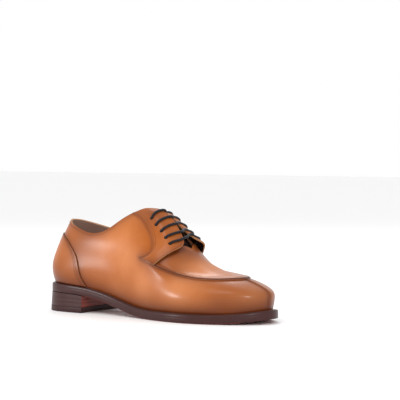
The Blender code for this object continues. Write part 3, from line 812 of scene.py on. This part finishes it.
def sole_edge(turn):
    turn = fold(turn)
    x = SOLE_START + SOLE_LENGTH * share_of_turn(turn)
    half = np.where(turn < 0, -along(SOLE_LINE, 1, turn), along(SOLE_LINE, 2, turn))
    return np.stack([x, centre(x) + half], -1)


def sole_outline(turn, inset=0.0):
    """Points of the sole's outline, moved inwards by the inset."""
    run = sole_edge(turn + 1e-4) - sole_edge(turn - 1e-4)
    run /= np.linalg.norm(run, axis=-1, keepdims=True)
    return sole_edge(turn) + np.stack([run[..., 1], -run[..., 0]], -1) * np.asarray(inset)[..., None]


def ring(turn, inset, lift, spread=1.0):
    """A line round the sole. A spread below 1 draws it in towards the middle of the sole."""
    edge = sole_outline(turn, np.full(len(turn), inset))
    middle = centre(edge[:, 0])
    y = middle + (edge[:, 1] - middle) * spread
    return np.column_stack([edge[:, 0], y, underside(edge[:, 0]) + lift])


around_sole = np.linspace(1, -1, 321)
OUTSOLE_PROFILE = (
    # inset, lift, spread
    (1.2, 0.0, 0.0), (1.2, 0.0, 0.35), (1.2, 0.0, 0.7), (1.2, 0.0, 0.9), (1.2, 0.0, 1.0), (0.6, 0.12, 1.0),
    (0.2, 0.5, 1.0), (0.0, 1.1, 1.0), (0.0, 3.0, 1.0), (0.0, 4.7, 1.0), (0.02, 5.3, 1.0), (0.08, 5.5, 1.0),
    (4.0, 5.5, 1.0), (4.0, 5.5, 0.7), (4.0, 5.5, 0.35), (4.0, 5.5, 0.0),
)
WELT_PROFILE = (
    (13.0, 9.5, 1.0), (8.0, 9.5, 1.0), (5.4, 9.5, 1.0), (1.6, 9.5, 1.0), (0.9, 9.3, 1.0), (0.40, 8.9, 1.0),
    (0.15, 8.3, 1.0), (0.05, 6.6, 1.0), (0.03, 5.8, 1.0), (0.08, 5.5, 1.0), (13.0, 5.6, 1.0),
    (13.0, 9.5, 1.0),
)


def swept(name, profile):
    """A profile of inset, lift and spread that runs once round the sole."""
    rings = [ring(around_sole, *row) for row in profile]
    piece = laid_grid(name, np.stack(rings, axis=1))
    edit(piece, face_out)
    return piece


outsole = swept("outsole_leather", OUTSOLE_PROFILE)
dress(outsole, SOLE, WELT)
tread_start = to_metres([66.0, 0.0, 0.0])[0]
for face in outsole.data.polygons:
    tread = face.normal.z < -0.7 and face.center.x > tread_start
    face.material_index = 0 if tread else 1
finish_piece(outsole, "outsole", slot="sole_leather", angle=50)
welt = swept("welt_leather", WELT_PROFILE)
dress(welt, WELT)
finish_piece(welt, "welt", slot="dark_edge", angle=50)

# %% Heel and top piece
HEEL_BREAST = 63.0
corner = float(turn_of_share((HEEL_BREAST - SOLE_START) / SOLE_LENGTH))


def heel_ring(inset, lift, on_floor):
    """A line round the heel and across its breast. The lift is from the floor or from the sole."""
    back = sole_outline(np.linspace(corner, -corner, 121), np.full(121, inset))
    back[0, 0] = back[-1, 0] = HEEL_BREAST
    across = np.linspace(0, 1, 33)[1:]
    y = back[-1, 1] + (back[0, 1] - back[-1, 1]) * across
    breast = np.column_stack([HEEL_BREAST - 2.5 * np.sin(np.pi * across), y])
    edge = np.concatenate([back, breast])
    height = lift if on_floor else underside(edge[:, 0]) + lift
    return np.column_stack([edge, np.full(len(edge), height) if on_floor else height])


def heel_stack(name, low, high, lifts):
    """Lifts of leather between two lines, each with a fine line where it meets the next."""
    rows = []
    for i in range(lifts):
        for share, inset in ((0.0, 0.22), (0.06, 0.02), (0.5, -0.03), (0.94, 0.02), (1.0, 0.22)):
            at = (i + share) / lifts
            line = low + (high - low) * at
            middle = np.array([35.0, 0.0])
            inwards = middle - line[:, :2]
            inwards /= np.linalg.norm(inwards, axis=1, keepdims=True)
            line[:, :2] += inwards * inset
            rows.append(line)
    piece = laid_grid(name, np.stack(rows, axis=1))
    edit(piece, close_ends)
    return piece


heel = heel_stack("heel_lifts", heel_ring(-1.0, 6.3, True), heel_ring(-0.1, -0.3, False), 3)
dress(heel, WELT, SOLE)
for face in heel.data.polygons:
    if face.normal.x > 0.7:
        face.material_index = 1
finish_piece(heel, "heel", slot="dark_edge", angle=30)
top_piece = heel_stack("heel_tip", heel_ring(-1.1, 0.0, True), heel_ring(-1.05, 6.1, True), 1)
dress(top_piece, RUBBER)
finish_piece(top_piece, "top_piece", slot="heel_rubber", angle=30)

# %% [markdown]
# ## The insole
# Inside, the foot stands on an insole that is covered with the lining leather.

# %% Insole
INSOLE_PROFILE = (
    # spread, lift
    (0.0, 12.6), (0.4, 12.5), (0.8, 12.3), (0.97, 12.2), (1.0, 11.6), (1.0, 9.9), (0.6, 9.9), (0.0, 9.9),
)
insole_ring = np.linspace(1, -1, 201)
wall_foot = skin(insole_ring, 0.0, -(WALL + 0.7))
rows = []
for spread, lift in INSOLE_PROFILE:
    middle = centre(wall_foot[:, 0])
    y = middle + (wall_foot[:, 1] - middle) * spread
    rows.append(np.column_stack([wall_foot[:, 0], y, underside(wall_foot[:, 0]) + lift]))
insole = laid_grid("insole_sock", np.stack(rows, axis=1))
edit(insole, face_out)
dress(insole, LINING)
finish_piece(insole, "insole", slot="lining_leather")

# %% [markdown]
# ## The laces
# Five straight bars of round waxed cotton close the flaps. Each leaves its hole, lies flat on the
# leather, bends over the flap's edge, crosses the throat and goes into the hole opposite.

# %% Laces
def tube(name, route, wide, width, thickness, sides=14):
    """A cord along a route, wider along one direction than across it."""
    ahead = np.gradient(route, axis=0)
    ahead /= np.linalg.norm(ahead, axis=1, keepdims=True)
    flat = wide - ahead * np.sum(wide * ahead, axis=1, keepdims=True)
    flat /= np.linalg.norm(flat, axis=1, keepdims=True)
    up = np.cross(ahead, flat)
    angles = np.linspace(0, 2 * np.pi, sides + 1)
    points = route[:, None] + (
        flat[:, None] * (np.cos(angles) * width / 2)[None, :, None]
        + up[:, None] * (np.sin(angles) * thickness / 2)[None, :, None]
    )
    piece = laid_grid(name, points)
    edit(piece, close_ends)
    return piece


def smooth_route(stops, count):
    length = np.concatenate([[0], np.cumsum(np.linalg.norm(np.diff(stops, axis=0), axis=1))])
    return spline(length, stops, np.linspace(0, length[-1], count))


LACE_WIDTH = 3.0
LACE_THICKNESS = 2.4
LACE = Finish("waxed_lace", 0.55, 0.0, 0.3, 0.08)
braid = LACE.cells(1300.0)
LACE.set("Base Color", LACE.blend(braid, (0.004, 0.003, 0.004), (0.020, 0.015, 0.018)))
LACE.bump(braid, 0.5, 0.0005)

for number, (down, across, edge_down) in enumerate(EYELETS, start=1):
    half = []
    for side in (-1, 1):
        steps = [facing_point(side, down + 0.004, across - 0.03, -FACING_THICKNESS - 2.4)]
        steps.append(facing_point(side, down, across - 0.01, -1.2))
        reach_down = max(edge_down - 0.05 * (side > 0), 0.02)
        heights = (0.4, 0.4, 0.5, 1.0) if side > 0 else (1.0, 1.4, 1.5, 1.4)
        for share, height in zip((0.10, 0.45, 0.85, 1.0), heights):
            place = down + (reach_down - down) * share
            steps.append(facing_point(side, place, across + (1 - across) * share, height))
        half.append(steps)
    middle = (half[0][-1] + half[1][-1]) / 2 - np.array([0.0, 0.0, 2.2 * (1 - smooth(edge_down / 0.45))])
    route = smooth_route(np.array(half[0] + [middle] + half[1][::-1]), 61)
    edge = facing_point(-1, down + 0.05, 1.0, 0.0) - facing_point(-1, down - 0.05, 1.0, 0.0)
    wide = np.tile(edge * np.array([1, 0, 1]), (len(route), 1))
    bar = tube(f"lace_{number}", route, wide, LACE_WIDTH, LACE_THICKNESS)
    dress(bar, LACE.material)
    finish_piece(bar, f"lace_bar_{number}", slot="lace_cotton", angle=60)

# %% [markdown]
# ## The seam ridge
# Outside the apron's edge the wall is turned up too. Here it is a thin roll of leather that runs
# along the seam, so that the seam reads as a ridge with a dark line beside it.

# %% Seam ridge
ridge_share = np.linspace(0.0, 1.0, 321)
ridge_turns = -(apron_start[0] + (2 - 2 * apron_start[0]) * ridge_share)
ridge_route = skin(ridge_turns, 0.4905, 0.35)
ridge_wide = skin(ridge_turns, 0.4905, 1.0) - skin(ridge_turns, 0.4905, 0.0)
ridge = tube("apron_ridge", ridge_route, ridge_wide, 2.0, 1.7, 10)
dress(ridge, TAN)
finish_piece(ridge, slot="tan_leather", angle=60)

# %% [markdown]
# ## Stitches
# A stitch is a short length of thread that dips into the leather at both ends. One is modelled
# from a small sphere, and copies of it are laid along each seam, all in one mesh for each seam.

# %% Stitches
bpy.ops.object.select_all(action="DESELECT")
bpy.ops.mesh.primitive_uv_sphere_add(segments=6, ring_count=4, radius=0.5)
pattern = bpy.context.object
STITCH_POINTS = np.array([v.co for v in pattern.data.vertices])
STITCH_FACES = [tuple(face.vertices) for face in pattern.data.polygons]
bpy.data.objects.remove(pattern, do_unlink=True)


def stitches(name, path, above, pitch, length, thread, finish, slot):
    """Lay stitches along a path. Above is the same path a little way off the leather."""
    run = np.concatenate([[0], np.cumsum(np.linalg.norm(np.diff(path, axis=0), axis=1))])
    count = int(run[-1] / pitch)
    points = []
    faces = []
    for i in range(count):
        at = (i + 0.5) * pitch
        ends = [np.array([np.interp(at + d, run, path[:, k]) for k in range(3)]) for d in (-0.3, 0.3)]
        out = np.array([np.interp(at, run, (above - path)[:, k]) for k in range(3)])
        ahead = ends[1] - ends[0]
        ahead /= np.linalg.norm(ahead)
        out -= ahead * (out @ ahead)
        out /= np.linalg.norm(out)
        across = np.cross(out, ahead)
        middle = (ends[0] + ends[1]) / 2
        start = len(points) * len(STITCH_POINTS)
        points.append(
            middle + STITCH_POINTS[:, :1] * across * thread + STITCH_POINTS[:, 1:2] * out * thread
            + STITCH_POINTS[:, 2:] * ahead * length
        )
        faces += [tuple(start + corner for corner in face) for face in STITCH_FACES]
    mesh = bpy.data.meshes.new(name)
    mesh.from_pydata(to_metres(np.concatenate(points)).tolist(), [], faces)
    mesh.materials.append(finish)
    piece = bpy.data.objects.new(name, mesh)
    bpy.context.scene.collection.objects.link(piece)
    edit(piece, face_out)
    finish_piece(piece, slot=slot, angle=180)


def on_skin(name, seam_turns, seam_levels, height, *style):
    stitches(name, skin(seam_turns, seam_levels, height), skin(seam_turns, seam_levels, height + 1.0), *style)


# Pitch, length, thickness of the thread, finish and slot.
FINE = (2.4, 1.9, 0.55, DARK_THREAD, "tan_leather")
fine = np.linspace(0.02, 0.98, 300)
for side, word in ((-1, "lateral"), (1, "medial")):
    for number, across in ((1, 0.075), (2, 0.15)):
        path = facing_point(side, fine, across, 0.0)
        stitches(f"rear_seam_{word}_{number}", path, facing_point(side, fine, across, 1.0), *FINE)
    path = facing_point(side, fine, 0.945, 0.0)
    stitches(f"front_seam_{word}", path, facing_point(side, fine, 0.945, 1.0), *FINE)
    for number, back in ((1, 0.011), (2, 0.022)):
        reach = counter_reach * (1 - back * 2.2) - 0.004
        on_skin(f"counter_seam_{word}_{number}", side * reach, counter_levels, OVERLAY_LIFT, *FINE)
collar_turns = rear[(rear > -0.42) & (rear < 0.42)]
collar_levels = rim_level(collar_turns)
on_skin("collar_seam", collar_turns, collar_levels - 0.022, 0.05, *FINE)
ridge_out = skin(ridge_turns, 0.503, 1.6)
stitches("apron_seam", ridge_out, skin(ridge_turns, 0.503, 2.6), 3.0, 2.3, 0.6, DARK_THREAD, "tan_leather")

welt_turns = np.linspace(corner, 2 - corner, 900)
welt_line = sole_outline(welt_turns, np.full(900, 3.1))
welt_path = np.column_stack([welt_line, underside(welt_line[:, 0]) + 9.45])
stitches("welt_stitch", welt_path, welt_path + [0, 0, 1.0], 3.1, 2.6, 0.95, WELT_THREAD, "dark_edge")

# %% [markdown]
# ## Burnish and painted shade
# Every leather piece now gets its darkening. Lines that hold dark cream are gathered as points:
# the welt, the seams, the collar. A line a little under the flaps' free edges is gathered too, and
# the darkening near it is a painted shadow. A point of leather is darkened by how near it is to
# them, and the toe and the heel are darkened as a whole. The top of the vamp gets a little painted
# shade. Round patches lighten and darken given places; the pale ones on the ball and on the toe are
# painted highlights.

# %% Burnish and painted shade
def line_tree(points):
    points = to_metres(points).reshape(-1, 3)
    tree = KDTree(len(points))
    for i, point in enumerate(points):
        tree.insert(point, i)
    tree.balance()
    return tree


many = np.linspace(-1, 1, 600)
seam_side = np.linspace(0, 1, 400)
apron_edge = skin(-(apron_start[0] + (2 - 2 * apron_start[0]) * seam_side), 0.5, 1.5)
facing_rear = np.concatenate([facing_point(s, seam_side, 0.0, 0.0) for s in (-1, 1)])
# Points a little under the flaps' free front edges. The vamp near them is darkened: a painted shadow of the
# flaps.
under_flap = -FACING_THICKNESS - 3.0
painted_shadow_under_flaps = np.concatenate([facing_point(s, 0.5 + seam_side * 0.45, 1.0, under_flap) for s in (-1, 1)])
facing_foot = np.concatenate([facing_point(s, 1.0, seam_side, 0.0) for s in (-1, 1)])
counter_edge = np.concatenate([skin(s * counter_reach, counter_levels, 1.0) for s in (-1, 1)])
toe_line = skin(np.full(200, 1.0), np.linspace(0, 0.5, 200), 0.0)
collar_line = skin(rear, rim_level(rear), 0.0)
SHADES = (
    # line, reach in metres, strength
    (line_tree(skin(many, np.zeros(600), 0.0)), 0.0150, 0.82),
    (line_tree(apron_edge), 0.0075, 0.55),
    (line_tree(apron_edge), 0.0015, 0.75),
    (line_tree(facing_rear), 0.0016, 0.60),
    (line_tree(facing_foot), 0.0026, 0.55),
    (line_tree(painted_shadow_under_flaps), 0.0042, 0.94),
    (line_tree(counter_edge), 0.0055, 0.55),
    (line_tree(collar_line), 0.0060, 0.50),
    (line_tree(toe_line), 0.0040, 0.60),
)


PALE_SHARE = 0.26
# Pale patches. The ones 205 mm and 283 mm from the heel, low on the ball and on the toe, are painted
# highlights.
PALE_AND_HIGHLIGHT_PATCHES = (
    # distance from the heel, height, reach, strength
    (118.0, 76.0, 23.0, 0.55), (129.0, 56.0, 16.0, 0.25), (152.0, 38.0, 17.0, 0.50),
    (205.0, 30.0, 19.0, 0.55), (6.0, 62.0, 16.0, 0.60), (218.0, 55.0, 18.0, 0.50),
    (283.0, 30.0, 12.0, 0.55), (112.0, 34.0, 12.0, 0.25),
)
DARK_PATCHES = (
    (60.0, 78.0, 20.0, 0.34), (150.0, 110.0, 15.0, 0.38), (193.0, 67.0, 13.0, 0.30),
    (152.0, 66.0, 8.0, 0.35), (252.0, 24.0, 15.0, 0.24), (165.0, 84.0, 12.0, 0.10),
)


def patches(table, x, z):
    """Strength of soft round patches, seen square from the side."""
    total = 0.0
    for at, high, reach, strength in table:
        total = total + strength * np.exp(-((x - at) ** 2 + (z - high) ** 2) / reach ** 2)
    return total


def burnish_and_shade(piece):
    places = np.array([v.co for v in piece.data.vertices])
    keep = np.ones(len(places))
    for tree, reach, strength in SHADES:
        away = np.array([tree.find(place)[2] for place in places])
        keep *= 1 - strength * np.exp(-((away / reach) ** 1.2))
    x = places[:, 0] * 1000 + ORIGIN[0]
    z = places[:, 2] * 1000
    toe = 0.30 * smooth((x - 240) / 45)
    heel_shade = 0.35 * smooth((60 - x) / 50) * smooth((95 - z) / 60)
    # Painted shade: the top of the vamp towards the toe is a little darker.
    painted_top_shade = 0.08 * smooth((x - 170) / 25) * smooth((z - 47) / 8)
    keep *= (1 - toe) * (1 - heel_shade) * (1 - painted_top_shade) * (1 - patches(DARK_PATCHES, x, z))
    layer = piece.data.attributes.new("burnish_and_shade", "FLOAT", "POINT")
    layer.data.foreach_set("value", (1 - keep).astype(np.float32))
    layer = piece.data.attributes.new("pale_and_highlight", "FLOAT", "POINT")
    layer.data.foreach_set("value", (PALE_SHARE + patches(PALE_AND_HIGHLIGHT_PATCHES, x, z)).astype(np.float32))


for piece in (upper, apron, counter, ridge, *facings.values()):
    burnish_and_shade(piece)
print("burnished")

# %% [markdown]
# ## Floor and light
# The shoe stands on a plain pale floor in a white room. Four soft lights stand round it: one above,
# one at the left, one before the toe and one behind.

# %% Studio
bpy.ops.mesh.primitive_plane_add(size=12, location=(0, 0, 0))
floor = bpy.context.object
floor.name = "floor"
pale = Finish("pale_floor", 0.75)
pale.set("Base Color", (0.93, 0.93, 0.93))
dress(floor, pale.material)

LIGHT_AIM = Vector((0.0, 0.0, 0.04))


def soft_light(name, place, size, watts):
    bpy.ops.object.light_add(type="AREA", location=place)
    light = bpy.context.object
    light.name = name
    light.data.shape = "DISK"
    light.data.size = size
    light.data.energy = watts
    light.rotation_euler = (LIGHT_AIM - Vector(place)).to_track_quat("-Z", "Y").to_euler()


soft_light("key_light", (0.1, -0.75, 1.2), 0.6, 3)
soft_light("side_light", (-0.9, -1.15, 0.32), 0.26, 6)
soft_light("front_light", (1.15, -0.85, 0.52), 0.22, 5)
soft_light("back_light", (-0.7, 0.9, 1.1), 0.6, 5)
world = bpy.data.worlds.new("studio")
world.use_nodes = True
world.node_tree.nodes["Background"].inputs["Color"].default_value = (1, 1, 1, 1)
world.node_tree.nodes["Background"].inputs["Strength"].default_value = 1.0
bpy.context.scene.world = world
bpy.context.scene.view_settings.view_transform = "Standard"
